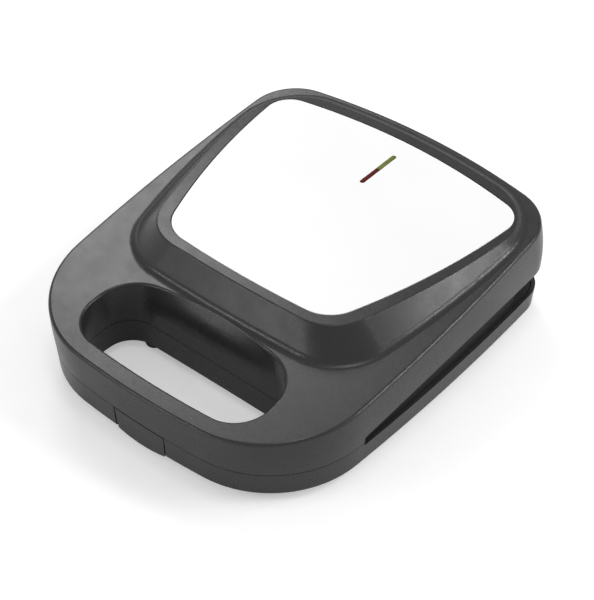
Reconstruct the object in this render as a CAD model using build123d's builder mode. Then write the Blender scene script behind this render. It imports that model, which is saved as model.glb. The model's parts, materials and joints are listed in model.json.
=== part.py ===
from build123d import *
from math import atan, cos, radians, sin, tan
import os

os.makedirs("parts", exist_ok=True)

# All sizes are in millimetres. +Z is up, the handle points to -Y, the hinge is at +Y.
# The feet stand on z = 0.

# plan outline of the housings; their rear corners are rounder along the top crease
front_half = 108.0
back_half = 109.0
front_y = -125.7
back_y = 123.3
front_bow = 10.4
back_bow = 12.8
side_bow = 4.8
front_corner = 70.0
back_corner = 24.0
crease_corner = 40.0

# heights and walls of the housings
base_bottom = 5.0
floor_thick = 2.0
crease_front = 48.3
crease_back = 71.7
plateau_top = 74.3
wall = 2.4
bottom_inset = 2.8
parting_inset = 1.5
wall_swell = 0.4
parting_gap = 0.4

# white panel and the window let into it
panel_front = 64.1
panel_back = 96.9
panel_front_y = -40.4
panel_border = 15.3
panel_thick = 1.5
panel_gap = 0.6
lens_long = 34.6
lens_wide = 3.0

# handle opening and the side slot behind it
grip_wide = 41.0
grip_long = 5.5
hole_long = 50.7
slot_setback = 5.1
slot_rise = 11.4

# cooking plates with round cavities
cookie_radius = 25.0
cookie_draft = 2.0
cookie_depth = 5.0
cookie_space = 6.0
cookie_wall = 2.05
plate_side = 15.0
plate_end = 9.0
plate_thick = 3.0
plate_gap = 0.15

# frames around the plates
frame_inset = 6.1
frame_corner = 47.0
frame_skin = 1.85
skirt = 1.8
flange = 1.8

# heating elements, the trays behind them and what clamps them
tube_radius = 2.85
tube_end_x = 14.0
clip_reach = 7.0
clip_skin = 1.1
strap_skin = 0.8
tray_skin = 0.5
tray_lip = 0.6
tray_air = 0.9
sensor_high = 4.6
sensor_reach = 11.0

# hinge
hinge_pin_radius = 2.0
arm_centre_x = 44.0
arm_width = 7.4
ear_width = 3.0
sleeve_x = -11.5
sleeve_radius = 3.0

# latch
latch_pin_radius = 1.1
latch_barrel = 2.3
latch_half = 19.5
latch_thick = 2.0

# mains cord inlet
cord_radius = 3.5

# screws and clearances
seat = 0.3
running = 0.05
screw_radius = 1.5
thin_screw = 1.25
post_radius = 3.5
head_high = 1.0
foot_radius = 6.0

# places that follow from the sizes above
nose_y = front_y - front_bow
tail_y = back_y + back_bow
reach = front_half + back_y
hole_half = front_half - grip_wide
hole_front_y = front_y + grip_long
hole_back_y = hole_front_y + hole_long
slot_front_y = hole_back_y + wall + slot_setback
frame_front_y = slot_front_y - 2.5
frame_back_y = back_y - 9.7
plate_centre_y = (frame_front_y + frame_back_y) / 2
cookie_pitch = 2 * cookie_radius + cookie_space
cookie_row = cookie_pitch * sin(radians(60))
plate_wide = 2 * (cookie_pitch + cookie_radius + plate_side)
plate_long = 2 * (cookie_row + cookie_radius + plate_end)
panel_back_y = back_y - panel_border
lens_back_y = panel_back_y - 3.6
lens_mid = lens_back_y - lens_long / 2

# levels, from the floor of the base up to the plates' meeting plane and on into the lid
floor_top = base_bottom + floor_thick
tray_low = floor_top + tray_skin
lower_bar = tray_low + tray_skin + tray_air + head_high + clip_skin
lower_tube_z = lower_bar + seat + tube_radius
lower_under = lower_tube_z + tube_radius + seat
lower_top = lower_under + cookie_wall + cookie_depth
meet = lower_top + plate_gap
upper_bottom = meet + plate_gap
upper_over = upper_bottom + cookie_depth + cookie_wall
upper_tube_z = upper_over + seat + tube_radius
upper_bar = upper_tube_z + tube_radius + seat
tray_high = upper_bar + clip_skin + head_high + tray_air + 1.0
base_top = meet - 2.6
lid_bottom = base_top + parting_gap
side_top = meet - 5.2
boss_top = floor_top + 5.0
slot_front_z = meet + 1.8
slot_back_z = meet + slot_rise
flange_low = slot_back_z + seat
flange_top = flange_low + flange
lid_post_z = meet + 5.5
cover_post_z = meet + 3.5
roof_z = plateau_top - panel_thick - wall
slope = atan((crease_back - crease_front) / (back_y - front_y))
shoulder_mid = crease_front - front_y * tan(slope)
rim_z = shoulder_mid + hole_back_y * tan(slope)

# axes of the hinge and the latch
hinge_y = back_y + 2.1
hinge_z = meet
arm_radius = hinge_pin_radius + 2.0
ear_radius = hinge_pin_radius + 2.2
latch_y = nose_y + 6.7
latch_z = meet + 6.5
latch_back_y = latch_y + 1.2
latch_bottom = base_bottom - 2.7

# screw and foot places
post_x = plate_wide / 2 + 4.9
frame_posts = [(x, plate_centre_y + y) for x in (post_x, -post_x) for y in (-64.5, 25.5)]
rear_posts = [(x, back_y - 4.3) for x in (arm_centre_x + 18, -arm_centre_x - 18)]
cover_posts = [(front_half - 18, front_y + 43.7), (18 - front_half, front_y + 43.7)]
cover_posts += [(front_half - 30, front_y + 14.7), (30 - front_half, front_y + 14.7)]
plate_screw_x = plate_wide / 2 - 1.9
plate_screws = [(x, plate_centre_y + y) for x in (plate_screw_x, -plate_screw_x) for y in (-55, 55)]
tray_screw_x = plate_wide / 2 - 14
tray_screw_y = plate_long / 2 - 16
tray_ys = (plate_centre_y - tray_screw_y, plate_centre_y + tray_screw_y)
tray_spots = [(x, y) for x in (tray_screw_x, -tray_screw_x) for y in tray_ys]
tube_front_y = plate_centre_y - cookie_row
clip_spots = [(cookie_pitch, plate_centre_y, 0), (-cookie_pitch, plate_centre_y, 0)]
clip_spots += [(cookie_pitch / 2, tube_front_y, 90), (-cookie_pitch / 2, tube_front_y, 90)]
strap_spots = [(sensor_reach, plate_centre_y), (-sensor_reach, plate_centre_y)]
strap_drop = sensor_high + 2 * seat
lamp_spots = [(8.8, lens_mid), (-8.8, lens_mid)]
feet_front = (front_half - 53, hole_back_y + 6.5)
feet_back = (back_half - 37, back_y - 25.3)
tube_end_y = frame_back_y - 7.6
block_x = 22.0
block_y = back_y - 4.3
cord_z = base_bottom + 7.9


def wall_inset(z):
    return bottom_inset + (parting_inset - bottom_inset) * (z - base_bottom) / (base_top - base_bottom)


def shoulder_z(y):
    return shoulder_mid + y * tan(slope)


def shoulder_plane(height):
    lift = height / cos(slope)
    return Plane(origin=(0, 0, shoulder_mid + lift), x_dir=(1, 0, 0), z_dir=(0, -sin(slope), cos(slope)))


def behind(front):
    """A rectangle that keeps everything behind the line y = front."""
    with BuildSketch() as area:
        with Locations((0, front)):
            Rectangle(2 * reach, 2 * reach, align=(Align.CENTER, Align.MIN))
    return area.sketch


def bowed(half_a, half_b, y_a, y_b, bow_a, bow_b, bow_side, radius_a, radius_b):
    """Four-sided outline with bowed sides and rounded corners, a is the front and b the back."""
    mid_x = (half_a + half_b) / 2 + bow_side
    mid_y = (y_a + y_b) / 2
    with BuildSketch() as shape:
        with BuildLine():
            ThreePointArc((-half_a, y_a), (0, y_a - bow_a), (half_a, y_a))
            ThreePointArc((half_a, y_a), (mid_x, mid_y), (half_b, y_b))
            ThreePointArc((half_b, y_b), (0, y_b + bow_b), (-half_b, y_b))
            ThreePointArc((-half_b, y_b), (-mid_x, mid_y), (-half_a, y_a))
        make_face()
        fillet(shape.vertices().sort_by(Axis.Y)[:2], radius=radius_a)
        fillet(shape.vertices().sort_by(Axis.Y)[-2:], radius=radius_b)
    return shape.sketch


def body_outline(inset, rear=back_corner, front=front_corner):
    return bowed(
        front_half - inset, back_half - inset, front_y + inset, back_y - inset,
        front_bow, back_bow, side_bow, front - inset, rear - inset,
    )


def panel_outline(grow):
    return bowed(
        panel_front + grow, panel_back + grow, panel_front_y - grow, panel_back_y + grow,
        2.8, 12.2, 6.6, 24.5 + grow, 18 + grow,
    )


def hole_outline(grow, lip):
    turn = (radians(90) - atan(2 * lip / hole_half)) / 2
    room = (hole_long - 24.5) / tan(turn) + grow
    return bowed(
        hole_half + grow, hole_half + grow - 0.35 * lip, hole_front_y - grow, hole_back_y + grow,
        3.4, lip, 3.0, 24 + grow, min(18 + grow + 1.6 * lip, room),
    )


def plate_outline(grow):
    with BuildSketch() as shape:
        with Locations((0, plate_centre_y)):
            RectangleRounded(plate_wide + 2 * grow, plate_long + 2 * grow, 20 + grow)
    return shape.sketch


def frame_outline(inset):
    front = frame_front_y + inset
    back = frame_back_y - inset
    with BuildSketch() as shape:
        add(body_outline(frame_inset + inset, frame_corner, frame_corner))
        with Locations((0, (front + back) / 2)):
            Rectangle(2 * reach, back - front, mode=Mode.INTERSECT)
        fillet(shape.vertices().sort_by(Axis.Y)[:2], radius=12 - inset)
        fillet(shape.vertices().sort_by(Axis.Y)[-2:], radius=12 - inset)
    return shape.sketch


def flange_outline(inset, front):
    with BuildSketch() as shape:
        add(body_outline(inset))
        add(behind(front), mode=Mode.INTERSECT)
    return shape.sketch


def cover_outline(inset):
    with BuildSketch() as shape:
        add(body_outline(inset))
        add(behind(frame_front_y - seat), mode=Mode.SUBTRACT)
        add(hole_outline(wall + seat, 0.4), mode=Mode.SUBTRACT)
        with Locations((0, latch_back_y + 4.2)):
            Rectangle(2 * latch_half + 6.5, 20, align=(Align.CENTER, Align.MAX), mode=Mode.SUBTRACT)
    return shape.sketch


def cookie_spots():
    spots = [(0, plate_centre_y)]
    for turn in range(0, 360, 60):
        spots.append((cookie_pitch * cos(radians(turn)), plate_centre_y + cookie_pitch * sin(radians(turn))))
    return spots


def screws(spots, head_z, rise, head_radius=2.8, head_high=1.9, radius=screw_radius):
    """Pan head screws; the head's bearing face is at head_z and the shank goes by rise, down if negative."""
    side = 1 if rise > 0 else -1
    with BuildPart() as group:
        with BuildSketch(Plane.XY.offset(head_z)):
            with Locations(*spots):
                Circle(head_radius)
        extrude(amount=-side * head_high)
        with BuildSketch(Plane.XY.offset(head_z)):
            with Locations(*spots):
                Circle(radius)
        extrude(amount=rise)
        faces_out = group.faces().filter_by(Plane.XY).sort_by(Axis.Z)
        heads = faces_out[: len(spots)] if side > 0 else faces_out[-len(spots):]
        with Locations(*[face.center_location for face in heads]):
            Box(head_radius * 1.3, 0.6, 1.0, mode=Mode.SUBTRACT)
    return group.part


def save(part, name):
    part.label = name
    export_step(part, f"parts/{name}.step")


# Lower housing: a drafted tray with the handle opening, the latch recess and the hinge ears.
def make_base_outer():
    with BuildPart() as outer:
        with BuildSketch(Plane.XY.offset(base_bottom)):
            add(body_outline(bottom_inset))
        with BuildSketch(Plane.XY.offset(base_top)):
            add(body_outline(parting_inset))
        loft()
        fillet(outer.edges().group_by(Axis.Z)[0], radius=1.8)
    return outer.part


def make_base_hollow():
    with BuildPart() as hollow:
        with BuildSketch(Plane.XY.offset(floor_top)):
            add(body_outline(wall_inset(floor_top) + wall))
        with BuildSketch(Plane.XY.offset(base_top + 2)):
            add(body_outline(wall_inset(base_top + 2) + wall))
        loft()
        with BuildSketch(Plane.XY.offset(base_bottom)):
            add(hole_outline(wall, 0.4))
        extrude(amount=30, mode=Mode.SUBTRACT)
    return hollow.part


def make_base_housing():
    outer = make_base_outer()
    with BuildPart() as block:
        with Locations((0, latch_back_y + 6.2, 0)):
            Box(2 * latch_half + 6, 20, side_top - 1.8, align=(Align.CENTER, Align.MAX, Align.MIN))
        add(outer, mode=Mode.INTERSECT)
    ear_offset = (arm_width + ear_width) / 2 + seat
    ear_spots = [side * arm_centre_x + k * ear_offset for side in (-1, 1) for k in (-1, 1)]
    with BuildPart() as ears:
        for x in ear_spots + [sleeve_x]:
            with BuildSketch(Plane.YZ.offset(x - ear_width / 2)):
                with Locations((hinge_y, hinge_z)):
                    Circle(ear_radius)
                with Locations((hinge_y, (floor_top - 1 + hinge_z) / 2)):
                    Rectangle(2 * ear_radius, hinge_z - floor_top + 1)
            extrude(amount=ear_width)
    with BuildPart() as housing:
        add(outer)
        add(make_base_hollow(), mode=Mode.SUBTRACT)
        add(block.part)
        add(ears.part)
        bosses = frame_posts + rear_posts + cover_posts
        with BuildSketch(Plane.XY.offset(base_bottom + 1)):
            with Locations(*bosses):
                Circle(post_radius + 1)
        extrude(amount=boss_top - base_bottom - 1)
        with BuildSketch(Plane.XY.offset(base_bottom + 1)):
            with Locations((0, plate_centre_y)):
                with GridLocations(plate_wide - 52, plate_long - 105, 2, 2):
                    Circle(4)
        extrude(amount=tray_low - base_bottom - 1)
        with BuildSketch(Plane.XY.offset(base_bottom - 1)):
            with Locations(*bosses):
                Circle(3.2)
        extrude(amount=boss_top - 3 - base_bottom + 1, mode=Mode.SUBTRACT)
        with BuildSketch(Plane.XY.offset(base_bottom - 1)):
            with Locations(*bosses):
                Circle(screw_radius + running)
        extrude(amount=boss_top - base_bottom + 6, mode=Mode.SUBTRACT)
        with BuildSketch(Plane.XY.offset(base_bottom - 1)):
            add(hole_outline(0, 0.4))
        extrude(amount=base_top, mode=Mode.SUBTRACT)
        with BuildSketch(Plane.XY.offset(side_top)):
            add(behind(slot_front_y))
            with Locations((0, hinge_y)):
                Rectangle(2 * arm_centre_x + 22, 2 * ear_radius + 0.2, mode=Mode.SUBTRACT)
        extrude(amount=meet, mode=Mode.SUBTRACT)
        with BuildSketch(Plane.XY):
            with Locations((0, latch_back_y)):
                Rectangle(2 * (latch_half + 2 * seat), 20, align=(Align.CENTER, Align.MAX))
        extrude(amount=meet, mode=Mode.SUBTRACT)
        with BuildSketch(Plane.XY.offset(base_bottom - 1)):
            with Locations(*foot_spots()):
                Circle(foot_radius + running)
        extrude(amount=1.8, mode=Mode.SUBTRACT)
        with BuildSketch(Plane.XY.offset(base_bottom - 1)):
            with Locations((0, plate_centre_y)):
                with GridLocations(44, 12, 3, 5):
                    SlotOverall(32, 3)
        extrude(amount=floor_thick + 2, mode=Mode.SUBTRACT)
        for x in ear_spots:
            with Locations(Location((x, hinge_y, hinge_z), (0, 90, 0))):
                Cylinder(hinge_pin_radius + running, ear_width + 2, mode=Mode.SUBTRACT)
        with Locations(Location((sleeve_x, hinge_y, hinge_z), (0, 90, 0))):
            Cylinder(sleeve_radius + running, ear_width + 2, mode=Mode.SUBTRACT)
        with BuildSketch(Plane.XZ.offset(-cord_seat_y() + running)):
            with Locations((0, cord_z)):
                Circle(cord_radius + 3.3)
        extrude(amount=-10, mode=Mode.SUBTRACT)
        with BuildSketch(Plane.XZ.offset(-cord_seat_y() - 5)):
            with Locations((0, cord_z)):
                Circle(cord_radius + 1.4 + running)
        extrude(amount=wall + 7, mode=Mode.SUBTRACT)
    return housing.part


def foot_spots():
    spots = []
    for x, y in (feet_front, feet_back):
        spots += [(x, y), (-x, y)]
    return spots


def cord_seat_y():
    """Where the inlet's flange sits, just below the outer face of the rear wall."""
    return tail_y - wall_inset(cord_z) - 0.45


def make_foot(x, y):
    with BuildPart() as foot:
        with BuildSketch():
            with Locations((x, y)):
                Circle(foot_radius)
        extrude(amount=base_bottom + 0.8)
        fillet(foot.edges().group_by(Axis.Z)[0], radius=2)
    return foot.part


# Frames: a flat ring around the plate, a skirt at its outside and a flange that meets the housing wall.
def make_base_frame():
    low = side_top - seat - 2
    with BuildPart() as frame:
        with BuildSketch(Plane.XY.offset(lower_top - frame_skin)):
            add(frame_outline(0))
            add(plate_outline(0.4), mode=Mode.SUBTRACT)
        extrude(amount=frame_skin)
        with BuildSketch(Plane.XY.offset(low)):
            add(frame_outline(0))
            add(frame_outline(skirt), mode=Mode.SUBTRACT)
        extrude(amount=lower_top - low)
        with BuildSketch(Plane.XY.offset(low)):
            add(flange_outline(wall_inset(low) + wall + seat, frame_front_y - 2.2))
            add(frame_outline(skirt), mode=Mode.SUBTRACT)
            with Locations((arm_centre_x, hinge_y + 1.6), (-arm_centre_x, hinge_y + 1.6)):
                Rectangle(arm_width + 10.6, 14, mode=Mode.SUBTRACT)
            with Locations((1, hinge_y + 1.6)):
                Rectangle(60, 14, mode=Mode.SUBTRACT)
            with Locations((0, hinge_y + 6.6)):
                Rectangle(20, 9, mode=Mode.SUBTRACT)
        extrude(amount=2)
        with BuildSketch(Plane.XY.offset(lower_top - plate_thick - 2)):
            add(plate_outline(2.2))
            add(plate_outline(0.4), mode=Mode.SUBTRACT)
        extrude(amount=plate_thick + 2)
        with BuildSketch(Plane.XY.offset(lower_top - plate_thick - 2)):
            add(plate_outline(0.6))
            add(plate_outline(-4), mode=Mode.SUBTRACT)
        extrude(amount=2)
        with BuildSketch(Plane.XY.offset(boss_top)):
            with Locations(*frame_posts):
                Circle(post_radius)
        extrude(amount=lower_top - 1 - boss_top)
        with BuildSketch(Plane.XY.offset(boss_top)):
            with Locations(*rear_posts):
                Circle(post_radius)
        extrude(amount=low + 1 - boss_top)
        with BuildSketch(Plane.XY.offset(boss_top - 1)):
            with Locations(*(frame_posts + rear_posts)):
                Circle(screw_radius + running)
        extrude(amount=7.5, mode=Mode.SUBTRACT)
        with BuildSketch(Plane.XY.offset(lower_top - plate_thick - 5)):
            with Locations(*plate_screws):
                Circle(screw_radius + running)
        extrude(amount=5, mode=Mode.SUBTRACT)
    return frame.part


def make_lid_frame():
    with BuildPart() as frame:
        with BuildSketch(Plane.XY.offset(upper_bottom)):
            add(frame_outline(0))
            add(plate_outline(0.4), mode=Mode.SUBTRACT)
        extrude(amount=frame_skin)
        with BuildSketch(Plane.XY.offset(upper_bottom)):
            add(frame_outline(0))
            add(frame_outline(skirt), mode=Mode.SUBTRACT)
        extrude(amount=flange_top - upper_bottom)
        with BuildSketch(Plane.XY.offset(flange_low)):
            add(flange_outline(0.7 + wall + seat, frame_front_y - 1.3))
            add(frame_outline(skirt), mode=Mode.SUBTRACT)
        extrude(amount=flange)
        with BuildSketch(Plane.XY.offset(upper_bottom)):
            add(plate_outline(2.2))
            add(plate_outline(0.4), mode=Mode.SUBTRACT)
        extrude(amount=plate_thick + 2)
        with BuildSketch(Plane.XY.offset(upper_bottom + plate_thick)):
            add(plate_outline(0.6))
            add(plate_outline(-4), mode=Mode.SUBTRACT)
        extrude(amount=2)
        with BuildSketch(Plane.XY.offset(upper_bottom)):
            with Locations(*frame_posts):
                Circle(post_radius)
        extrude(amount=lid_post_z - upper_bottom)
        with BuildSketch(Plane.XY.offset(upper_bottom - 1)):
            with Locations(*frame_posts):
                Circle(2.9)
        extrude(amount=3, mode=Mode.SUBTRACT)
        with BuildSketch(Plane.XY.offset(upper_bottom - 1)):
            with Locations(*(frame_posts + rear_posts)):
                Circle(screw_radius + running)
        extrude(amount=flange_top - upper_bottom + 2, mode=Mode.SUBTRACT)
        with BuildSketch(Plane.XY.offset(upper_bottom + plate_thick)):
            with Locations(*plate_screws):
                Circle(screw_radius + running)
        extrude(amount=3, mode=Mode.SUBTRACT)
        with BuildSketch(Plane.XY.offset(flange_low - 1)):
            with Locations(*arm_screw_spots()):
                Circle(thin_screw + running)
            with Locations((sleeve_x - 10.5, hinge_y)):
                Circle(2.4)
        extrude(amount=4, mode=Mode.SUBTRACT)
    return frame.part


def make_base_cover():
    with BuildPart() as cover:
        with BuildSketch(Plane.XY.offset(side_top)):
            add(cover_outline(wall_inset(side_top) + wall + seat))
        extrude(amount=base_top - seat - side_top)
        with BuildSketch(Plane.XY.offset(boss_top)):
            with Locations(*cover_posts):
                Circle(post_radius)
        extrude(amount=side_top + 1 - boss_top)
        with BuildSketch(Plane.XY.offset(boss_top - 1)):
            with Locations(*cover_posts):
                Circle(screw_radius + running)
        extrude(amount=7.5, mode=Mode.SUBTRACT)
    return cover.part


def make_lid_cover():
    face_z = lid_bottom + seat + 0.1
    with BuildPart() as cover:
        with BuildSketch(Plane.XY.offset(face_z)):
            add(cover_outline(parting_inset + wall + seat))
        extrude(amount=2.2)
        with BuildSketch(Plane.XY.offset(face_z)):
            with Locations(*cover_posts):
                Circle(post_radius + 1)
        extrude(amount=cover_post_z - face_z)
        with BuildSketch(Plane.XY.offset(lid_bottom)):
            with Locations(*cover_posts):
                Circle(3.0)
        extrude(amount=2.6, mode=Mode.SUBTRACT)
        with BuildSketch(Plane.XY.offset(lid_bottom)):
            with Locations(*cover_posts):
                Circle(screw_radius + running)
        extrude(amount=7, mode=Mode.SUBTRACT)
    return cover.part


# Cooking plates: cast slabs with seven round cookie cavities each.
def make_plate(face_z, side):
    """Side is -1 for the lower plate, whose cavities go down, and 1 for the upper one."""
    back_z = face_z + side * plate_thick
    floor_z = face_z + side * cookie_depth
    under_z = floor_z + side * cookie_wall
    stud_z = floor_z + side * 1.0
    clip_z = under_z + side * (2 * seat + 2 * tube_radius)
    strap_z = under_z + side * strap_drop
    cookie_floor = cookie_radius - cookie_draft
    spots = cookie_spots()
    with BuildPart() as plate:
        with BuildSketch(Plane.XY.offset(face_z)):
            add(plate_outline(0))
        extrude(amount=side * plate_thick)
        for x, y in spots:
            with BuildSketch(Plane.XY.offset(back_z)):
                with Locations((x, y)):
                    Circle(cookie_radius + cookie_wall)
            with BuildSketch(Plane.XY.offset(under_z)):
                with Locations((x, y)):
                    Circle(cookie_floor + cookie_wall)
            loft()
        with BuildSketch(Plane.XY.offset(stud_z)):
            with Locations(*clip_screw_spots()):
                Circle(2.4)
        extrude(amount=clip_z - stud_z)
        with BuildSketch(Plane.XY.offset(stud_z)):
            with Locations(*strap_spots):
                Circle(2.4)
        extrude(amount=strap_z - stud_z)
        if side > 0:
            with BuildSketch(Plane.XY.offset(back_z)):
                with Locations(*tray_spots):
                    Circle(3.5)
            extrude(amount=tray_high - back_z)
            with BuildSketch(Plane.XY.offset(tray_high + 1)):
                with Locations(*tray_spots):
                    Circle(thin_screw + running)
            extrude(amount=-8, mode=Mode.SUBTRACT)
        for x, y in spots:
            with BuildSketch(Plane.XY.offset(face_z)):
                with Locations((x, y)):
                    Circle(cookie_radius)
            with BuildSketch(Plane.XY.offset(floor_z)):
                with Locations((x, y)):
                    Circle(cookie_floor)
            loft(mode=Mode.SUBTRACT)
        with BuildSketch(Plane.XY.offset(floor_z)):
            with Locations(*spots):
                Circle(cookie_floor - 7)
                Circle(cookie_floor - 8.6, mode=Mode.SUBTRACT)
                with PolarLocations((cookie_floor - 7) / 2, 6):
                    Circle(2.2)
        extrude(amount=-side * 1.0)
        with BuildSketch(Plane.XY.offset(face_z)):
            add(plate_outline(-2.5))
            add(plate_outline(-5), mode=Mode.SUBTRACT)
        extrude(amount=side * 1.2, mode=Mode.SUBTRACT)
        with BuildSketch(Plane.XY.offset(back_z)):
            with Locations(*plate_screws):
                Circle(screw_radius + running)
        extrude(amount=-side * 1.5, mode=Mode.SUBTRACT)
        with BuildSketch(Plane.XY.offset(clip_z)):
            with Locations(*clip_screw_spots()):
                Circle(thin_screw + running)
        extrude(amount=-side * 5.5, mode=Mode.SUBTRACT)
        with BuildSketch(Plane.XY.offset(strap_z)):
            with Locations(*strap_spots):
                Circle(thin_screw + running)
        extrude(amount=-side * 4.5, mode=Mode.SUBTRACT)
    return plate.part


def make_element(z):
    half, end = cookie_pitch, tube_end_x
    back = plate_centre_y + cookie_row
    points = [(-end, tube_end_y, z), (-end, back, z), (-half, back, z), (-half, tube_front_y, z)]
    points += [(-x, y, height) for x, y, height in reversed(points)]
    with BuildPart() as element:
        with BuildLine() as path:
            FilletPolyline(*points, radius=10)
        with BuildSketch(Plane(origin=points[0], z_dir=(0, -1, 0))):
            Circle(tube_radius)
        sweep(path=path.line)
        for x in (end, -end):
            with Locations(Location((x, tube_end_y + 1.5, z), (90, 0, 0))):
                Cylinder(1.2, 5)
    return element.part


def make_clips(bar_z, side):
    with BuildPart() as clips:
        for x, y, turn in clip_spots:
            with BuildSketch(Plane.XY.offset(bar_z)):
                with Locations(Location((x, y), turn)):
                    RectangleRounded(20, 8, 2)
                    with Locations((clip_reach, 0), (-clip_reach, 0)):
                        Circle(thin_screw + running, mode=Mode.SUBTRACT)
            extrude(amount=side * clip_skin)
    return clips.part


def clip_screw_spots():
    spots = []
    for x, y, turn in clip_spots:
        for k in (clip_reach, -clip_reach):
            spots.append((x + k * cos(radians(turn)), y + k * sin(radians(turn))))
    return spots


def make_strap(bar_z, side):
    with BuildPart() as strap:
        with BuildSketch(Plane.XY.offset(bar_z)):
            with Locations((0, plate_centre_y)):
                RectangleRounded(30, 8, 2)
            with Locations(*strap_spots):
                Circle(thin_screw + running, mode=Mode.SUBTRACT)
        extrude(amount=side * strap_skin)
    return strap.part


def make_tray(sheet_z, side):
    """Reflector tray behind a plate: side is the way its lip stands, 1 up or -1 down."""
    with BuildPart() as tray:
        with BuildSketch(Plane.XY.offset(sheet_z)):
            add(plate_outline(-6))
            if side < 0:
                with Locations(*tray_spots):
                    Circle(thin_screw + running, mode=Mode.SUBTRACT)
        extrude(amount=tray_skin)
        with BuildSketch(Plane.XY.offset(sheet_z)):
            add(plate_outline(-6))
            add(plate_outline(-6 - tray_lip), mode=Mode.SUBTRACT)
        extrude(amount=side * 6.5)
        with BuildSketch(Plane.XY.offset(sheet_z + side * 1.0)):
            with Locations((0, plate_centre_y + plate_long / 2 - 6)):
                Rectangle(2 * tube_end_x + 12, 6)
        extrude(amount=side * 8, mode=Mode.SUBTRACT)
    return tray.part


# Lid housing: the handle shoulder rises to the back and a raised flat top stands on it.
def make_mound(drop, inset, blend):
    """The raised top on its sloping shoulder, with a soft concave blend where they meet."""
    base = shoulder_plane(-drop)
    foot_line = bowed(
        front_half - 20 - inset, back_half - 4.5 - inset, hole_back_y + 12.5 + inset, back_y - 5.3 - inset,
        3, 11, 6.9, 40, 44,
    )
    ridge_line = bowed(
        panel_front + 5.2 - inset, panel_back - 7.4 - inset, panel_front_y - 5.2 + inset,
        panel_back_y - 4.3 - inset, 2.8, 10.5, 4.2, 27, 31,
    )
    with BuildPart() as mound:
        with BuildSketch(base):
            Rectangle(3 * reach, 3 * reach)
        extrude(amount=-reach)
        with BuildSketch(base):
            add(foot_line)
        with BuildSketch(shoulder_plane(22 - drop)):
            add(ridge_line)
        loft()
        if blend > 0:
            shoulder = [face for face in mound.faces().filter_by(base) if face.inner_wires()]
            fillet(shoulder[0].inner_wires()[0].edges(), radius=blend)
    return mound.part


def make_lid_form(drop, inset, blend):
    with BuildPart() as form:
        with BuildSketch(Plane.XY.offset(lid_bottom)):
            add(body_outline(parting_inset + inset))
        with BuildSketch(Plane.XY.offset(crease_front)):
            add(body_outline(inset - wall_swell))
        with BuildSketch(Plane.XY.offset(plateau_top + 4)):
            add(body_outline(inset, crease_corner))
        loft()
        add(make_mound(drop, inset * 0.55, blend), mode=Mode.INTERSECT)
    return form.part


def make_hole_cutter(grow):
    """Straight at the bottom, with a rear edge that bows further back towards the rim."""
    low = rim_z - 19.6
    lips = ((0, 0.4), (4, 0.9), (8, 1.8), (14, 4.1), (19, 6.7), (28, 11.4))
    with BuildPart() as cutter:
        for rise, lip in lips:
            with BuildSketch(Plane.XY.offset(low + rise)):
                add(hole_outline(grow, lip))
        loft()
        with BuildSketch(Plane.XY.offset(low)):
            add(hole_outline(grow, 0.4))
        extrude(amount=-20)
    return cutter.part


def on_crease(edge):
    middle = edge @ 0.5
    near = abs(middle.Z - shoulder_z(middle.Y)) < 0.4
    return near and middle.Z > crease_front - 3.3 and edge.length > 3


def on_rim(edge):
    middle = edge @ 0.5
    near = abs(middle.X) < hole_half + 6 and front_y - 2.3 < middle.Y < hole_back_y + 14.5
    return near and middle.Z > crease_front - 2.3 and abs(middle.Z - shoulder_z(middle.Y)) < 4


def make_lid_outer():
    with BuildPart() as outer:
        add(make_lid_form(0, 0, 7))
        split(bisect_by=Plane.XY.offset(plateau_top), keep=Keep.BOTTOM)
        top = outer.faces().filter_by(Plane.XY).sort_by(Axis.Z)[-1]
        fillet(top.outer_wire().edges(), radius=1.2)
        fillet(outer.edges().filter_by(on_crease), radius=2)
    return outer.part


def make_lid_hollow():
    with BuildPart() as hollow:
        add(make_lid_form(wall, wall, 0))
        split(bisect_by=Plane.XY.offset(roof_z), keep=Keep.BOTTOM)
        add(make_hole_cutter(wall), mode=Mode.SUBTRACT)
    return hollow.part


def make_lid_posts(outer):
    lug_x = latch_half - 1.3
    rib_x = front_half + 5.6
    with BuildPart() as posts:
        with BuildSketch(Plane.XY.offset(lid_post_z)):
            with Locations(*frame_posts):
                Circle(post_radius - 0.2)
        extrude(amount=plateau_top)
        with BuildSketch(Plane.XY.offset(flange_top)):
            with Locations(*rear_posts):
                Circle(post_radius - 0.2)
        extrude(amount=plateau_top)
        with BuildSketch(Plane.XY.offset(cover_post_z)):
            with Locations(*cover_posts):
                Circle(post_radius)
        extrude(amount=plateau_top)
        with BuildSketch(Plane.XY.offset(latch_z - 4)):
            with Locations((lug_x, latch_y - 1.3), (-lug_x, latch_y - 1.3)):
                Rectangle(2.4, 9)
        extrude(amount=plateau_top)
        with BuildSketch(Plane.XY.offset(lid_bottom + 3)):
            with Locations((rib_x, slot_front_y - 1.2), (-rib_x, slot_front_y - 1.2)):
                Rectangle(12, 2)
        extrude(amount=slot_back_z - 0.2 - lid_bottom - 3)
        add(outer, mode=Mode.INTERSECT)
    return posts.part


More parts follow.
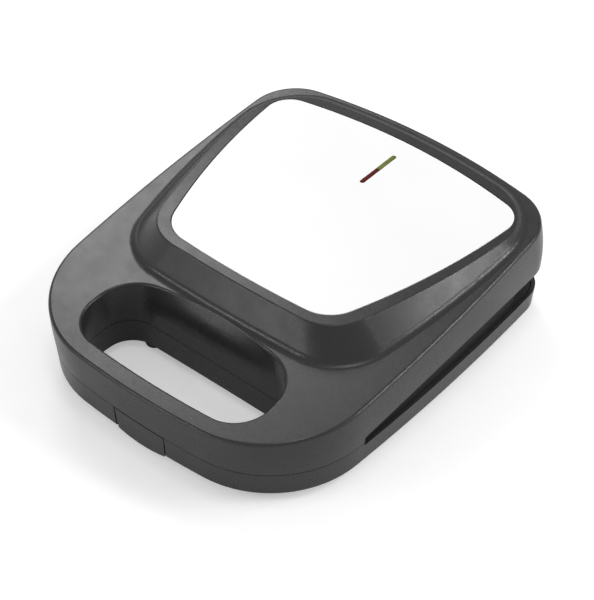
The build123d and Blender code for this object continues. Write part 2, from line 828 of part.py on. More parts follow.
def make_lid_housing():
    outer = make_lid_outer()
    slot_turn_y = back_y - 19.3
    with BuildPart() as housing:
        add(outer)
        add(make_hole_cutter(0), mode=Mode.SUBTRACT)
        fillet(housing.edges().filter_by(on_rim), radius=1.6)
        add(make_lid_hollow(), mode=Mode.SUBTRACT)
        add(make_lid_posts(outer))
        add(make_hole_cutter(0), mode=Mode.SUBTRACT)
        with BuildSketch(Plane.XY.offset(cover_post_z)):
            with Locations(*(frame_posts + cover_posts)):
                Circle(screw_radius + running)
        extrude(amount=10, mode=Mode.SUBTRACT)
        with BuildSketch(Plane.XY.offset(flange_low)):
            with Locations(*rear_posts):
                Circle(screw_radius + running)
        extrude(amount=12, mode=Mode.SUBTRACT)
        with Locations(Location((0, latch_y, latch_z), (0, 90, 0))):
            Cylinder(latch_pin_radius + running, 2 * latch_half + 0.2, mode=Mode.SUBTRACT)
        with BuildSketch(Plane.YZ.offset(-reach)):
            with BuildLine():
                Polyline((reach, slot_back_z), (reach, 0), (slot_front_y, 0), (slot_front_y, slot_front_z))
                slot_mid = (plate_centre_y - 4.5, slot_back_z - 0.4)
                ThreePointArc((slot_front_y, slot_front_z), slot_mid, (slot_turn_y, slot_back_z))
                Line((slot_turn_y, slot_back_z), (reach, slot_back_z))
            make_face()
        extrude(amount=2 * reach, mode=Mode.SUBTRACT)
        with BuildSketch(Plane.XY.offset(plateau_top - panel_thick)):
            add(panel_outline(0))
        extrude(amount=10, mode=Mode.SUBTRACT)
        with BuildSketch(Plane.XY.offset(roof_z - 5)):
            with Locations((0, lens_mid)):
                SlotOverall(lens_long, lens_wide, rotation=90)
        extrude(amount=20, mode=Mode.SUBTRACT)
        with BuildSketch(Plane.XY.offset(roof_z - 2)):
            with Locations(*lamp_spots):
                Circle(1 + running)
        extrude(amount=3.6, mode=Mode.SUBTRACT)
    return housing.part


def make_panel():
    with BuildPart() as panel:
        with BuildSketch(Plane.XY.offset(plateau_top - panel_thick)):
            add(panel_outline(-panel_gap))
            with Locations((0, lens_mid)):
                SlotOverall(lens_long + 0.2, lens_wide + 0.2, rotation=90, mode=Mode.SUBTRACT)
        extrude(amount=panel_thick)
        fillet(panel.faces().sort_by(Axis.Z)[-1].outer_wire().edges(), radius=0.3)
    return panel.part


def make_lens(side):
    """Half of the indicator window, side -1 is the front half."""
    with BuildPart() as lens:
        with BuildSketch(Plane.XY.offset(roof_z - 0.2)):
            with Locations((0, lens_mid)):
                SlotOverall(lens_long - 0.1, lens_wide - 0.1, rotation=90)
        extrude(amount=plateau_top + 0.15 - roof_z + 0.2)
        with BuildSketch(Plane.XY.offset(roof_z - 1)):
            with Locations((0, lens_mid)):
                SlotOverall(lens_long + 2, lens_wide + 2.6, rotation=90)
        extrude(amount=1)
        with Locations((0, lens_mid + side * 0.05, roof_z)):
            Box(20, lens_long, 20, align=(Align.CENTER, Align.MAX if side > 0 else Align.MIN, Align.CENTER),
                mode=Mode.SUBTRACT)
    return lens.part


def make_lamp_holder():
    with BuildPart() as holder:
        with Locations((0, lens_mid, roof_z)):
            Box(13.2, lens_long + 9.4, 10, align=(Align.CENTER, Align.CENTER, Align.MAX))
            Box(9.6, lens_long + 5.4, 9, align=(Align.CENTER, Align.CENTER, Align.MAX), mode=Mode.SUBTRACT)
        with Locations((8, lens_mid, roof_z), (-8, lens_mid, roof_z)):
            Box(6.4, 7, 2, align=(Align.CENTER, Align.CENTER, Align.MAX))
        with Locations((0, lens_mid, roof_z)):
            Box(9.6, lens_long + 4.4, 6, align=(Align.CENTER, Align.CENTER, Align.MAX), mode=Mode.SUBTRACT)
        with BuildSketch(Plane.XY.offset(roof_z - 3)):
            with Locations(*lamp_spots):
                Circle(1 + running)
        extrude(amount=4, mode=Mode.SUBTRACT)
        with Locations((0, lens_mid + lens_long / 2 + 3.7, roof_z - 5)):
            Box(3, 4, 3, mode=Mode.SUBTRACT)
    return holder.part


def make_lamps():
    with BuildPart() as lamps:
        for y in (lens_mid - lens_long / 4, lens_mid + lens_long / 4):
            with Locations(Location((0, y, roof_z - 6.4), (90, 0, 0))):
                Cylinder(2.3, 11)
        fillet(lamps.edges().filter_by(GeomType.CIRCLE), radius=0.8)
    return lamps.part


# Hinge: one arm on each side swings between two ears of the lower housing.
def arm_screw_spots():
    return [(side * arm_centre_x + k, hinge_y - 7.4) for side in (-1, 1) for k in (-5, 5)]


def make_hinge_arms():
    with BuildPart() as arms:
        for x in (arm_centre_x, -arm_centre_x):
            with BuildSketch(Plane.YZ.offset(x - arm_width / 2)):
                with Locations((hinge_y, hinge_z)):
                    Circle(arm_radius)
                with Locations((hinge_y - arm_radius, hinge_z)):
                    Rectangle(arm_radius + 2, flange_low - hinge_z, align=(Align.MIN, Align.MIN))
            extrude(amount=arm_width)
            with Locations((x, hinge_y - 4.9, flange_low)):
                Box(16, 13, flange, align=(Align.CENTER, Align.CENTER, Align.MAX))
        for x in (arm_centre_x, -arm_centre_x):
            with Locations(Location((x, hinge_y, hinge_z), (0, 90, 0))):
                Cylinder(hinge_pin_radius + running, arm_width + 5, mode=Mode.SUBTRACT)
        with BuildSketch(Plane.XY.offset(flange_low - flange - 1)):
            with Locations(*arm_screw_spots()):
                Circle(thin_screw + running)
        extrude(amount=flange + 2, mode=Mode.SUBTRACT)
    return arms.part


def make_hinge_pins():
    with BuildPart() as pins:
        for x in (arm_centre_x, -arm_centre_x):
            with Locations(Location((x, hinge_y, hinge_z), (0, 90, 0))):
                Cylinder(hinge_pin_radius, arm_width + 2 * (ear_width + seat))
    return pins.part


# Latch: a clip that hangs from a pin inside the upper handle and hooks under the lower one.
def make_latch_skin(inset):
    with BuildPart() as skin:
        with BuildSketch(Plane.XY.offset(latch_bottom - 1)):
            add(body_outline(wall_inset(latch_bottom - 1) + inset))
        with BuildSketch(Plane.XY.offset(base_top)):
            add(body_outline(parting_inset + inset))
        loft()
    return skin.part


def make_latch():
    top = base_top - 2 * seat
    corner = (latch_half - 1.1, latch_bottom + 2.3)
    with BuildPart() as blade:
        add(make_latch_skin(0.1))
        add(make_latch_skin(0.1 + latch_thick), mode=Mode.SUBTRACT)
        with BuildSketch(Plane.XZ.offset(-latch_y - 12)):
            with BuildLine():
                Polyline((-corner[0], corner[1]), (-latch_half, top), (latch_half, top), corner)
                ThreePointArc(corner, (0, latch_bottom), (-corner[0], corner[1]))
            make_face()
        extrude(amount=24, mode=Mode.INTERSECT)
    with BuildPart() as latch:
        add(blade.part)
        with BuildSketch(Plane.YZ.offset(-latch_half + 5.5)):
            with BuildLine():
                Polyline(
                    (latch_y - 3.3, meet - 3.8), (latch_y - 0.5, meet - 3.3), (latch_y - 0.5, latch_z),
                    (latch_y + 1.5, latch_z), (latch_y + 1.5, meet - 3.7), (latch_y - 2.9, meet - 6),
                    close=True,
                )
            make_face()
        extrude(amount=2 * latch_half - 11)
        with BuildSketch(Plane.YZ.offset(-latch_half + 3)):
            with Locations((latch_y, latch_z)):
                Circle(latch_barrel)
        extrude(amount=2 * latch_half - 6)
        with Locations((0, latch_y + 0.2, latch_bottom + 0.7)):
            Box(latch_half, 3.0, 1.4, align=(Align.CENTER, Align.MAX, Align.MIN))
        with Locations(Location((0, latch_y, latch_z), (0, 90, 0))):
            Cylinder(latch_pin_radius + running, 2 * latch_half, mode=Mode.SUBTRACT)
    return latch.part


def make_latch_pin():
    with BuildPart() as pin:
        with Locations(Location((0, latch_y, latch_z), (0, 90, 0))):
            Cylinder(latch_pin_radius, 2 * latch_half - 0.2)
    return pin.part


# Electrical pieces inside.
def make_thermostat():
    top = lower_under - seat
    with BuildPart() as thermostat:
        with BuildSketch(Plane.XY.offset(top)):
            with Locations((0, plate_centre_y)):
                Circle(7)
        extrude(amount=-sensor_high)
        with Locations((3, plate_centre_y + 9, top - 3), (-3, plate_centre_y + 9, top - 3)):
            Box(2.4, 7, 0.8)
    return thermostat.part


def make_fuse():
    fuse_radius = sensor_high / 2
    with BuildPart() as fuse:
        with Locations(Location((0, plate_centre_y, upper_over + seat + fuse_radius), (90, 0, 0))):
            Cylinder(fuse_radius, 14)
            Cylinder(0.6, 24)
    return fuse.part


def make_terminal_block():
    with BuildPart() as block:
        with Locations((block_x, block_y, floor_top)):
            Box(20, 9, 8, align=(Align.CENTER, Align.CENTER, Align.MIN))
        fillet(block.edges().filter_by(Axis.Z), radius=1)
        with BuildSketch(Plane.XY.offset(floor_top + 8)):
            with Locations((block_x, block_y)):
                with GridLocations(6, 1, 3, 1):
                    Circle(1.6)
        extrude(amount=-4, mode=Mode.SUBTRACT)
    return block.part


def make_gland():
    """Flanged inlet for the mains cord, held by a nut inside the rear wall."""
    face_y = cord_seat_y()
    with BuildPart() as gland:
        with Locations(Location((0, face_y, cord_z), (-90, 0, 0))):
            Cylinder(cord_radius + 3, 1.4, align=(Align.CENTER, Align.CENTER, Align.MIN))
            Cylinder(cord_radius + 1.4, wall + 3.8, align=(Align.CENTER, Align.CENTER, Align.MAX))
        with Locations(Location((0, face_y - wall - 0.95, cord_z), (-90, 0, 0))):
            Cylinder(cord_radius + 2.1, 1.6, align=(Align.CENTER, Align.CENTER, Align.MAX))
        with Locations(Location((0, face_y - wall, cord_z), (90, 0, 0))):
            Cylinder(cord_radius, 20, mode=Mode.SUBTRACT)
    return gland.part


def wire(points, radius, bend):
    with BuildPart() as lead:
        with BuildLine() as path:
            FilletPolyline(*points, radius=bend)
        with BuildSketch(Plane(origin=points[0], z_dir=path.line % 0)):
            Circle(radius)
        sweep(path=path.line)
    return lead.part


def make_base_wiring():
    tab_z = lower_tube_z - 1.2
    blade_z = lower_under - seat - 3
    blade_y = plate_centre_y + 13.4
    run_z = floor_top + 3
    pin_y = tube_end_y + 5.1
    front = block_y - 5.3
    rear = block_y + 4.6
    live_out = (block_x, front, run_z + 1)
    element_lead = [(tube_end_x, pin_y, tab_z), (tube_end_x, pin_y, run_z + 1)]
    element_lead += [(tube_end_x + 2, front, run_z + 1)]
    sensor_in = [(3, blade_y, blade_z), (3, blade_y + 10, run_z), (6, tube_end_y - 2, run_z), live_out]
    sensor_out = [(-3, blade_y, blade_z), (-3, blade_y + 10, run_z), (-8, tube_end_y, run_z)]
    sensor_out += [(-tube_end_x, pin_y + 0.2, tab_z - 0.5)]
    to_lid = [(block_x, rear, run_z + 1), (block_x, hinge_y, run_z + 1), (8, hinge_y, hinge_z - 4.5)]
    to_lid += [(3, hinge_y, hinge_z), (sleeve_x - 2.5, hinge_y, hinge_z)]
    with BuildPart() as leads:
        add(wire(element_lead, 0.8, 0.9))
        add(wire(sensor_in, 0.8, 3))
        add(wire(sensor_out, 0.8, 1.5))
        add(wire(to_lid, 1.6, 1.7))
    return leads.part


def make_wire_sleeve():
    with BuildPart() as sleeve:
        with Locations(Location((sleeve_x - 1.5, hinge_y, hinge_z), (0, 90, 0))):
            Cylinder(sleeve_radius, 10)
            Cylinder(sleeve_radius - 1, 12, mode=Mode.SUBTRACT)
    return sleeve.part


def make_lid_wiring():
    low = upper_tube_z - 0.8
    down_y = tube_end_y + 4.9
    hub_x = sleeve_x - 10.5
    hub = (hub_x, hinge_y, flange_top + 6)
    left_end = [(-tube_end_x, down_y, flange_top + 9), (-tube_end_x, down_y, low)]
    right_end = [(tube_end_x, down_y, flange_top + 11), (tube_end_x, down_y, low)]
    lamp_end = [(hub_x + 12, block_y - 1, roof_z - 10.4), (0, lens_back_y + 5.2, roof_z - 5)]
    with BuildPart() as leads:
        add(wire([(sleeve_x - 2.9, hinge_y, hinge_z), (hub_x, hinge_y, hinge_z), hub], 1.6, 2.5))
        add(wire([hub, (hub_x + 2, block_y - 2, flange_top + 10)] + left_end, 0.8, 2))
        add(wire([hub, (hub_x + 10, block_y - 2, flange_top + 13)] + right_end, 0.8, 2))
        add(wire([hub] + lamp_end, 0.8, 3))
    return leads.part


if __name__ == "__main__":
    save(make_base_housing(), "base_housing")
    save(make_base_frame(), "base_frame")
    save(make_base_cover(), "base_handle_cover")
    save(make_plate(lower_top, -1), "lower_plate")
    save(make_element(lower_tube_z), "lower_element")
    save(make_clips(lower_bar, -1), "lower_element_clips")
    save(make_tray(tray_low, 1), "lower_reflector")
    save(make_thermostat(), "thermostat")
    save(make_strap(lower_under - strap_drop, -1), "thermostat_strap")
    save(make_terminal_block(), "terminal_block")
    save(make_gland(), "cord_gland")
    save(make_base_wiring(), "base_wiring")
    save(make_wire_sleeve(), "wire_sleeve")
    save(make_hinge_pins(), "hinge_pins")
    for name, (x, y) in zip(("front_right", "front_left", "rear_right", "rear_left"), foot_spots()):
        save(make_foot(x, y), f"foot_{name}")
    save(make_lid_housing(), "lid_housing")
    save(make_panel(), "lid_panel")
    save(make_lens(-1), "lens_red")
    save(make_lens(1), "lens_green")
    save(make_lamp_holder(), "lamp_holder")
    save(make_lamps(), "neon_lamps")
    save(make_lid_frame(), "lid_frame")
    save(make_lid_cover(), "lid_handle_cover")
    save(make_plate(upper_bottom, 1), "upper_plate")
    save(make_element(upper_tube_z), "upper_element")
    save(make_clips(upper_bar, 1), "upper_element_clips")
    save(make_tray(tray_high, -1), "upper_reflector")
    save(make_fuse(), "thermal_fuse")
    save(make_strap(upper_over + strap_drop, 1), "fuse_strap")
    save(make_lid_wiring(), "lid_wiring")
    save(make_hinge_arms(), "hinge_arms")
    save(make_latch(), "latch_clip")
    save(make_latch_pin(), "latch_pin")

    base_head_z = boss_top - 3
    save(screws(frame_posts + rear_posts, base_head_z, 9), "base_screws")
    save(screws(cover_posts, base_head_z, 9), "base_cover_screws")
    plate_low = lower_top - plate_thick - 2
    save(screws(plate_screws, plate_low, 3.4, 2.5, 1.6), "lower_plate_screws")
    clips_low = lower_bar - clip_skin
    save(screws(clip_screw_spots(), clips_low, 5.5, 2.2, head_high, thin_screw), "lower_clip_screws")
    strap_low = lower_under - strap_drop - strap_skin
    save(screws(strap_spots, strap_low, 5, 2.2, head_high, thin_screw), "thermostat_screws")
    save(screws(frame_posts, upper_bottom + 2, 10, 2.7, 1.8), "lid_screws")
    save(screws(rear_posts, flange_low, 10, 2.7, 1.8), "lid_rear_screws")
    save(screws(cover_posts, lid_bottom + 2.6, 10, 2.8, 1.8), "lid_cover_screws")
    plate_high = upper_bottom + plate_thick + 2
    save(screws(plate_screws, plate_high, -3.4, 2.5, 1.6), "upper_plate_screws")
    clips_high = upper_bar + clip_skin
    save(screws(clip_screw_spots(), clips_high, -5.5, 2.2, head_high, thin_screw), "upper_clip_screws")
    strap_high = upper_over + strap_drop + strap_skin
    save(screws(strap_spots, strap_high, -5, 2.2, head_high, thin_screw), "fuse_screws")
    save(screws(tray_spots, tray_high + tray_skin, -7, 2.4, 1.4, thin_screw), "reflector_screws")
    save(screws(arm_screw_spots(), flange_low - flange, 3.3, 2.2, 1.2, thin_screw), "hinge_arm_screws")
    save(screws(lamp_spots, roof_z - 2, 3.6, 1.8, 1.0, 1.0), "lamp_holder_screws")
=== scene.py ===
import json
import math

import bpy
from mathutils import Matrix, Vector

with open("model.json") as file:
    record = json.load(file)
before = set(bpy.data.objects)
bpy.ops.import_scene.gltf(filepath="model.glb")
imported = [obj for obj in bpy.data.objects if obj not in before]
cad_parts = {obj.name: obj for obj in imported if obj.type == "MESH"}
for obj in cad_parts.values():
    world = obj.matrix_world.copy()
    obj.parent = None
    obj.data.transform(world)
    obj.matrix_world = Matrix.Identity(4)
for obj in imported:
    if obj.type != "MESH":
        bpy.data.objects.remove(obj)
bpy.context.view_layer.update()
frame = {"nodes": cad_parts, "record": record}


# Lengths are in metres and angles in degrees. Azimuth 0 is in front of the handle and 90 on its right.
# Every piece is a CAD node with a better material. Only the camera, the floor and the lamps are new.

def direction(azimuth, elevation):
    """The unit vector from the object to a place at that azimuth and elevation."""
    a, e = math.radians(azimuth), math.radians(elevation)
    return Vector((math.sin(a) * math.cos(e), -math.cos(a) * math.cos(e), math.sin(e)))


def add_facing(name, data, place, way):
    """A new object that looks along way, as cameras and area lamps do."""
    thing = bpy.data.objects.new(name, data)
    thing.location = place
    thing.rotation_mode = "QUATERNION"
    thing.rotation_quaternion = way.to_track_quat("-Z", "Y")
    bpy.context.collection.objects.link(thing)
    return thing


# Camera: the photograph's viewing angle, as fitted to the outline, the crease and the panel

CAMERA_AZIMUTH, CAMERA_ELEVATION, CAMERA_DISTANCE = 40.181, 42.448, 1.1921
CAMERA_TARGET = Vector((0.01714, -0.01188, 0.0428))
FOCAL_PIXELS, LONG_SIDE_PIXELS = 1975.9, 600
SENSOR_MILLIMETRES = 36.0
CLIP_START, CLIP_END = 0.05, 50


def make_camera():
    back = direction(CAMERA_AZIMUTH, CAMERA_ELEVATION)
    data = bpy.data.cameras.new("camera")
    data.sensor_width = SENSOR_MILLIMETRES
    data.lens = FOCAL_PIXELS / LONG_SIDE_PIXELS * SENSOR_MILLIMETRES
    data.clip_start, data.clip_end = CLIP_START, CLIP_END
    camera = add_facing("camera", data, CAMERA_TARGET + back * CAMERA_DISTANCE, -back)
    bpy.context.scene.camera = camera


make_camera()


# Node trees, one call a node. An input takes a number, a colour or another node's output. Textures lie in
# the object's own metres, so the scale of a noise or of cells is in cells per metre. A wave texture has
# about 3.2 bands per metre for each 1 of its scale.

NOISE_RANGE = (0.3, 0.7)  # nearly all values of a noise texture
UNIT_RANGE = (0.0, 1.0)
WHITE = (1, 1, 1, 1)


class Tree:
    """The node tree of a material or a world."""

    def __init__(self, owner):
        owner.use_nodes = True
        self.nodes = owner.node_tree.nodes
        self.links = owner.node_tree.links
        self.nodes.clear()

    def node(self, kind, values=None, **settings):
        n = self.nodes.new(kind)
        for key, value in settings.items():
            setattr(n, key, value)
        for key, value in (values or {}).items():
            self.put(n.inputs[key], value)
        return n

    def put(self, socket, value):
        if isinstance(value, bpy.types.NodeSocket):
            self.links.new(value, socket)
        else:
            socket.default_value = value

    def maths(self, operation, a, b):
        return self.node("ShaderNodeMath", {0: a, 1: b}, operation=operation).outputs["Value"]

    def span(self, value, source, target=UNIT_RANGE):
        """Carries the range source over to the range target and stops at its ends."""
        values = {
            "Value": value,
            "From Min": source[0],
            "From Max": source[1],
            "To Min": target[0],
            "To Max": target[1],
        }
        return self.node("ShaderNodeMapRange", values).outputs["Result"]

    def any_ray(self, *kinds):
        """1 for a ray of any of these kinds, 0 for the others."""
        path = self.node("ShaderNodeLightPath").outputs
        found = path[kinds[0]]
        for kind in kinds[1:]:
            found = self.maths("MAXIMUM", found, path[kind])
        return found


class Material(Tree):
    """The node tree of the material for one slot of the record."""

    def __init__(self, slot):
        self.slot = slot
        self.material = bpy.data.materials.new(slot)
        super().__init__(self.material)
        self.place = self.node("ShaderNodeTexCoord").outputs["Object"]

    def stretched(self, scale):
        return self.node("ShaderNodeMapping", {"Vector": self.place, "Scale": scale}).outputs["Vector"]

    def noise(self, scale, detail=2.0, rough=0.5, twist=0.0, place=None):
        values = {
            "Vector": place or self.place,
            "Scale": scale,
            "Detail": detail,
            "Roughness": rough,
            "Distortion": twist,
        }
        return self.node("ShaderNodeTexNoise", values).outputs["Fac"]

    def cells(self, scale):
        return self.node("ShaderNodeTexVoronoi", {"Vector": self.place, "Scale": scale}).outputs["Distance"]

    def wave(self, scale, twist=0.0, place=None, bands="X"):
        values = {"Vector": place or self.place, "Scale": scale, "Distortion": twist}
        return self.node("ShaderNodeTexWave", values, bands_direction=bands).outputs["Fac"]

    def colours(self, factor, first, second):
        n = self.node("ShaderNodeMix", {"Factor": factor}, data_type="RGBA")
        for name, colour in (("A", first), ("B", second)):
            socket = next(s for s in n.inputs if s.name == name and s.type == "RGBA")
            self.put(socket, (*colour, 1) if isinstance(colour, tuple) else colour)
        return next(s for s in n.outputs if s.type == "RGBA")

    def spread(self, noise, target=UNIT_RANGE):
        return self.span(noise, NOISE_RANGE, target)

    def clouds(self, noise, first, second):
        """Two colours mixed by a noise."""
        return self.colours(self.spread(noise), first, second)

    def bump(self, height, distance, strength):
        values = {"Height": height, "Distance": distance, "Strength": strength}
        return self.node("ShaderNodeBump", values).outputs["Normal"]

    def finish(self, **values):
        """The slot and its material, with these values on the shader's sockets."""
        named = {key.replace("_", " "): value for key, value in values.items()}
        shader = self.node("ShaderNodeBsdfPrincipled", named)
        self.node("ShaderNodeOutputMaterial", {"Surface": shader.outputs["BSDF"]})
        return self.slot, self.material


# Plastics

def grain_plastic(slot, dark, pale, rough, grain_depth):
    """Moulded plastic with the fine spark-eroded grain of a tool, a little uneven in gloss."""
    t = Material(slot)
    cloud = t.noise(scale=28, detail=3)
    speck = t.noise(scale=1600, rough=0.6)
    flow = t.noise(scale=70, detail=4, rough=0.6)
    grain = t.maths("ADD", t.cells(scale=2600), t.noise(scale=5200, rough=0.7))
    tone = t.maths("MULTIPLY", t.spread(cloud, (0.7, 1.0)), t.span(speck, (0.35, 0.65), (0.8, 1.0)))
    gloss = t.spread(flow, (rough - 0.035, rough + 0.035))
    return t.finish(
        Base_Color=t.colours(tone, dark, pale),
        Roughness=t.maths("ADD", gloss, t.spread(speck, (-0.03, 0.03))),
        Normal=t.bump(grain, distance=grain_depth, strength=0.35),
        Specular_IOR_Level=0.38,
    )


def white_lacquer(slot):
    """White lacquer, nearly smooth, with the faint waviness of a moulded and painted sheet."""
    t = Material(slot)
    peel = t.noise(scale=420, rough=0.4)
    return t.finish(
        Base_Color=t.clouds(t.noise(scale=14, detail=3), (0.9, 0.9, 0.905), (0.925, 0.925, 0.925)),
        Roughness=t.spread(t.noise(scale=160, detail=4), (0.3, 0.34)),
        Normal=t.bump(peel, distance=0.00001, strength=0.08),
        Coat_Weight=0.12,
        Coat_Roughness=0.12,
    )


def tinted_lens(slot, deep, bright):
    """Tinted clear plastic with fine ribs along the inside that spread the lamp's light. The rib bands in
    its colour are painted light and shade: lighter on each crest, deeper between them.
    """
    t = Material(slot)
    ribs = t.wave(scale=262)
    cloud = t.noise(scale=300)
    # Painted highlight and shade: the colour follows the ribs' height, bright on each crest and deep
    # between, with a random cloud on top.
    return t.finish(
        Base_Color=t.colours(t.maths("MULTIPLY", ribs, t.spread(cloud, (0.6, 1.0))), deep, bright),
        Roughness=t.spread(cloud, (0.16, 0.24)),
        Normal=t.bump(ribs, distance=0.00004, strength=0.3),
        Specular_IOR_Level=0.22,
        Coat_Weight=0.1,
    )


# Metals

def non_stick_plate(slot):
    """Cast aluminium under a dark non-stick coating: pebbled, with fine pale flecks."""
    t = Material(slot)
    cloud = t.noise(scale=40, detail=4)
    pebble = t.noise(scale=900, detail=3, rough=0.6)
    fleck = t.maths("MULTIPLY", t.span(t.cells(scale=900), (0.0, 0.09), (1.0, 0.0)), 0.5)
    coating = t.clouds(cloud, (0.018, 0.018, 0.019), (0.032, 0.032, 0.033))
    return t.finish(
        Base_Color=t.colours(fleck, coating, (0.2, 0.2, 0.2)),
        Roughness=t.spread(t.noise(scale=120, detail=4), (0.34, 0.46)),
        Normal=t.bump(pebble, distance=0.00006, strength=0.4),
        Coat_Weight=0.2,
        Coat_Roughness=0.3,
    )


def metal(slot, dull, bright, rough, brushed=(1, 1, 1)):
    """Bare or plated metal with clouding, a rolled or plated surface and hairline scratches."""
    t = Material(slot)
    cloud = t.noise(scale=90, detail=5, rough=0.6)
    line = t.noise(scale=900, detail=3, rough=0.7, place=t.stretched(brushed))
    nicks = t.noise(scale=260, detail=6, rough=0.75, twist=1.5, place=t.stretched(brushed))
    scratch = t.span(nicks, (0.58, 0.7))
    gloss = t.spread(line, (rough - 0.06, rough + 0.08))
    return t.finish(
        Base_Color=t.clouds(cloud, dull, bright),
        Metallic=1.0,
        Roughness=t.maths("ADD", gloss, t.maths("MULTIPLY", scratch, 0.12)),
        Normal=t.bump(t.maths("ADD", line, scratch), distance=0.00001, strength=0.5),
    )


def sheathed_tube(slot):
    """Steel heater tube, tinted brown and blue in bands by its own heat."""
    t = Material(slot)
    band = t.noise(scale=22, detail=4, rough=0.6, twist=0.8)
    draw = t.noise(scale=1400, detail=3, rough=0.6, place=t.stretched((1, 1, 0.25)))
    brown = t.colours(t.span(band, (0.35, 0.5)), (0.34, 0.3, 0.26), (0.2, 0.15, 0.11))
    return t.finish(
        Base_Color=t.colours(t.span(band, (0.52, 0.68)), brown, (0.13, 0.14, 0.19)),
        Metallic=1.0,
        Roughness=t.spread(draw, (0.36, 0.52)),
        Normal=t.bump(draw, distance=0.00002, strength=0.5),
    )


# Ceramic, glass braid, rubber and glass

def fired_ceramic(slot):
    """Chalky off-white ceramic with a few darker specks."""
    t = Material(slot)
    cloud = t.noise(scale=60, detail=4)
    chalk = t.noise(scale=1300, detail=4, rough=0.65)
    speck = t.maths("MULTIPLY", t.span(t.noise(scale=700), (0.66, 0.72)), 0.5)
    body = t.clouds(cloud, (0.66, 0.63, 0.56), (0.74, 0.72, 0.67))
    return t.finish(
        Base_Color=t.colours(speck, body, (0.4, 0.36, 0.3)),
        Roughness=t.spread(cloud, (0.6, 0.75)),
        Normal=t.bump(chalk, distance=0.00004, strength=0.6),
    )


def glass_braid(slot, dark, pale, weave_scale, weave_depth):
    """Woven glass yarn: two crossing sets of strands, with a fuzz six times as fine. The hollows between
    the strands are painted darker as shade.
    """
    t = Material(slot)
    one = t.wave(weave_scale, twist=0.4, bands="DIAGONAL")
    other = t.wave(weave_scale, twist=0.4, place=t.stretched((-1, 1, 1)), bands="DIAGONAL")
    weave = t.maths("MAXIMUM", one, other)
    fuzz = t.noise(weave_scale * 6, detail=3, rough=0.7)
    # Painted shade: the colour is darkest where the weave is low, in the hollows between the strands, with
    # the random fuzz on top.
    tone = t.maths("MULTIPLY", weave, t.spread(fuzz, (0.7, 1.0)))
    height = t.maths("ADD", weave, t.maths("MULTIPLY", fuzz, 0.3))
    return t.finish(
        Base_Color=t.colours(tone, dark, pale),
        Roughness=t.spread(fuzz, (0.7, 0.85)),
        Normal=t.bump(height, distance=weave_depth, strength=0.8),
        Sheen_Weight=0.15,
    )


def soft_rubber(slot):
    """Black rubber with a fine skin."""
    t = Material(slot)
    cloud = t.noise(scale=90, detail=4)
    skin = t.noise(scale=2200, detail=3, rough=0.6)
    return t.finish(
        Base_Color=t.clouds(cloud, (0.02, 0.02, 0.02), (0.036, 0.036, 0.036)),
        Roughness=t.spread(cloud, (0.66, 0.8)),
        Normal=t.bump(skin, distance=0.00004, strength=0.5),
    )


def lamp_glass(slot):
    """Thin glass with a faint warm tint."""
    t = Material(slot)
    cloud = t.noise(scale=200)
    return t.finish(
        Base_Color=t.clouds(cloud, (0.93, 0.88, 0.82), (0.97, 0.95, 0.92)),
        Roughness=t.spread(cloud, (0.03, 0.08)),
        Transmission_Weight=0.9,
        IOR=1.48,
    )


LOOKS = dict([
    grain_plastic(
        "housing_plastic",
        dark=(0.017, 0.017, 0.0175),
        pale=(0.03, 0.03, 0.0305),
        rough=0.27,
        grain_depth=0.00003,
    ),
    grain_plastic(
        "frame_plastic",
        dark=(0.014, 0.014, 0.015),
        pale=(0.024, 0.024, 0.025),
        rough=0.48,
        grain_depth=0.00004,
    ),
    white_lacquer("panel_white"),
    tinted_lens("lens_red", deep=(0.025, 0.0003, 0.0005), bright=(0.19, 0.001, 0.0015)),
    tinted_lens("lens_green", deep=(0.015, 0.017, 0.003), bright=(0.34, 0.37, 0.05)),
    non_stick_plate("coated_plate"),
    sheathed_tube("sheathed_tube"),
    metal("zinc_steel", dull=(0.4, 0.41, 0.43), bright=(0.56, 0.57, 0.58), rough=0.36),
    metal(
        "bright_aluminium",
        dull=(0.66, 0.67, 0.68),
        bright=(0.78, 0.78, 0.79),
        rough=0.27,
        brushed=(0.08, 1, 1),
    ),
    metal("screw_steel", dull=(0.42, 0.42, 0.43), bright=(0.58, 0.58, 0.58), rough=0.3),
    fired_ceramic("ceramic_white"),
    glass_braid(
        "wire_insulation",
        dark=(0.4, 0.38, 0.33),
        pale=(0.66, 0.64, 0.58),
        weave_scale=900,
        weave_depth=0.00012,
    ),
    glass_braid(
        "sleeve_fabric",
        dark=(0.13, 0.12, 0.1),
        pale=(0.3, 0.28, 0.24),
        weave_scale=600,
        weave_depth=0.0002,
    ),
    soft_rubber("foot_rubber"),
    lamp_glass("lamp_glass"),
])


def dress():
    """Every CAD node keeps its mesh and takes its slot's material."""
    for part in frame["record"]["subparts"]:
        for held in frame["nodes"][part["node"]].material_slots:
            held.material = LOOKS[part["material_slot"]]


dress()


# Floor: pale and matt, and white further away. The camera, rays through glass and in part reflections
# see its glow too, so the background is white and the floor still keeps the object's shadow.

FLOOR_SIDE = 12.0
FLOOR_DROP = 0.0002  # keeps the floor clear of the feet
FLOOR_DARK, FLOOR_PALE = (0.75, 0.75, 0.75), (0.77, 0.77, 0.77)
GLOW_REACH = (0.3, 2.2)  # distances from the origin between which the glow rises
GLOW_STRENGTH = (0.38, 1.0)
REFLECTED_GLOW = 0.35  # the share of it that reflections in the object see


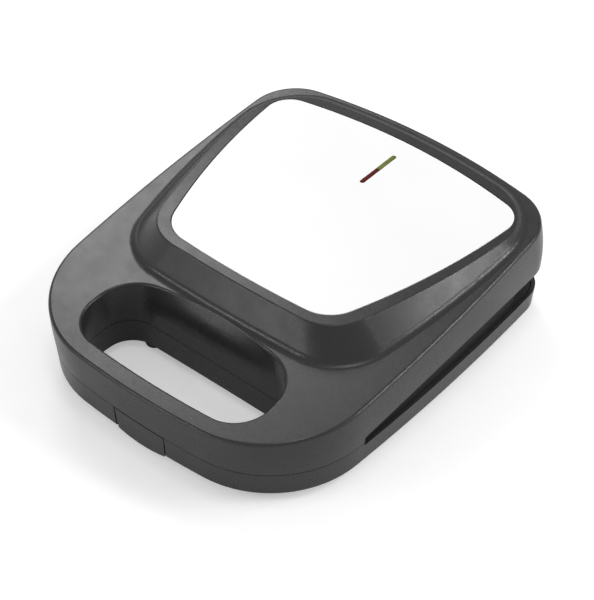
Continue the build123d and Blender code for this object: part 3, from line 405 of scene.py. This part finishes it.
def make_floor():
    t = Material("floor")
    colour = t.clouds(t.noise(scale=40, detail=4), FLOOR_DARK, FLOOR_PALE)
    matt = t.node("ShaderNodeBsdfDiffuse", {"Color": colour})
    away = t.node("ShaderNodeVectorMath", {0: t.place}, operation="LENGTH").outputs["Value"]
    reflected = t.maths("MULTIPLY", t.any_ray("Is Glossy Ray"), REFLECTED_GLOW)
    seen = t.maths("MAXIMUM", t.any_ray("Is Camera Ray", "Is Transmission Ray"), reflected)
    strength = t.maths("MULTIPLY", seen, t.span(away, GLOW_REACH, GLOW_STRENGTH))
    glow = t.node("ShaderNodeEmission", {"Color": WHITE, "Strength": strength})
    both = t.node("ShaderNodeAddShader", {0: matt.outputs["BSDF"], 1: glow.outputs["Emission"]})
    t.node("ShaderNodeOutputMaterial", {"Surface": both.outputs["Shader"]})
    half = FLOOR_SIDE / 2
    corners = [(-half, -half, 0), (half, -half, 0), (half, half, 0), (-half, half, 0)]
    mesh = bpy.data.meshes.new("floor")
    mesh.from_pydata(corners, [], [(0, 1, 2, 3)])
    mesh.materials.append(t.material)
    floor = bpy.data.objects.new("floor", mesh)
    floor.location.z = -FLOOR_DROP
    bpy.context.collection.objects.link(floor)


# World: white to the camera and through glass. For all other rays a bright band lies round the horizon,
# and between two heights, given as sines of the elevation, it fades to a dimmer sky.

HORIZON_FADE = (0.08, 0.24)
HORIZON_TO_SKY = (1.0, 0.45)


def make_world():
    world = bpy.data.worlds.new("studio")
    bpy.context.scene.world = world
    t = Tree(world)
    way = t.node("ShaderNodeTexCoord").outputs["Generated"]
    height = t.node("ShaderNodeSeparateXYZ", {"Vector": way}).outputs["Z"]
    seen = t.any_ray("Is Camera Ray", "Is Transmission Ray")
    strength = t.maths("MAXIMUM", seen, t.span(height, HORIZON_FADE, HORIZON_TO_SKY))
    sky = t.node("ShaderNodeBackground", {"Color": WHITE, "Strength": strength})
    t.node("ShaderNodeOutputWorld", {"Surface": sky.outputs["Background"]})


# Lamps: soft boxes, all at one distance and turned to the origin

LAMP_DISTANCE = 1.6
LAMPS = [
    # name, azimuth, elevation, width, height, watts
    ("key", -123, 46, 0.55, 0.45, 5.6),
    ("low front", -14, 6, 1.1, 0.16, 2.6),
    ("front strip", -34, 36, 0.6, 0.06, 3.0),
    ("top", 60, 86, 0.3, 0.3, 2.4),
    ("right", 120, 25, 0.6, 0.32, 6.0),
    ("right strip", 131, 45, 0.6, 0.05, 6.0),
]


def make_lamp(name, azimuth, elevation, width, height, watts):
    data = bpy.data.lights.new(name, "AREA")
    data.shape = "RECTANGLE"
    data.size, data.size_y = width, height
    data.energy = watts
    way = direction(azimuth, elevation)
    add_facing(name, data, way * LAMP_DISTANCE, -way)


make_floor()
make_world()
for lamp in LAMPS:
    make_lamp(*lamp)

bpy.context.scene.view_settings.view_transform = "Standard"
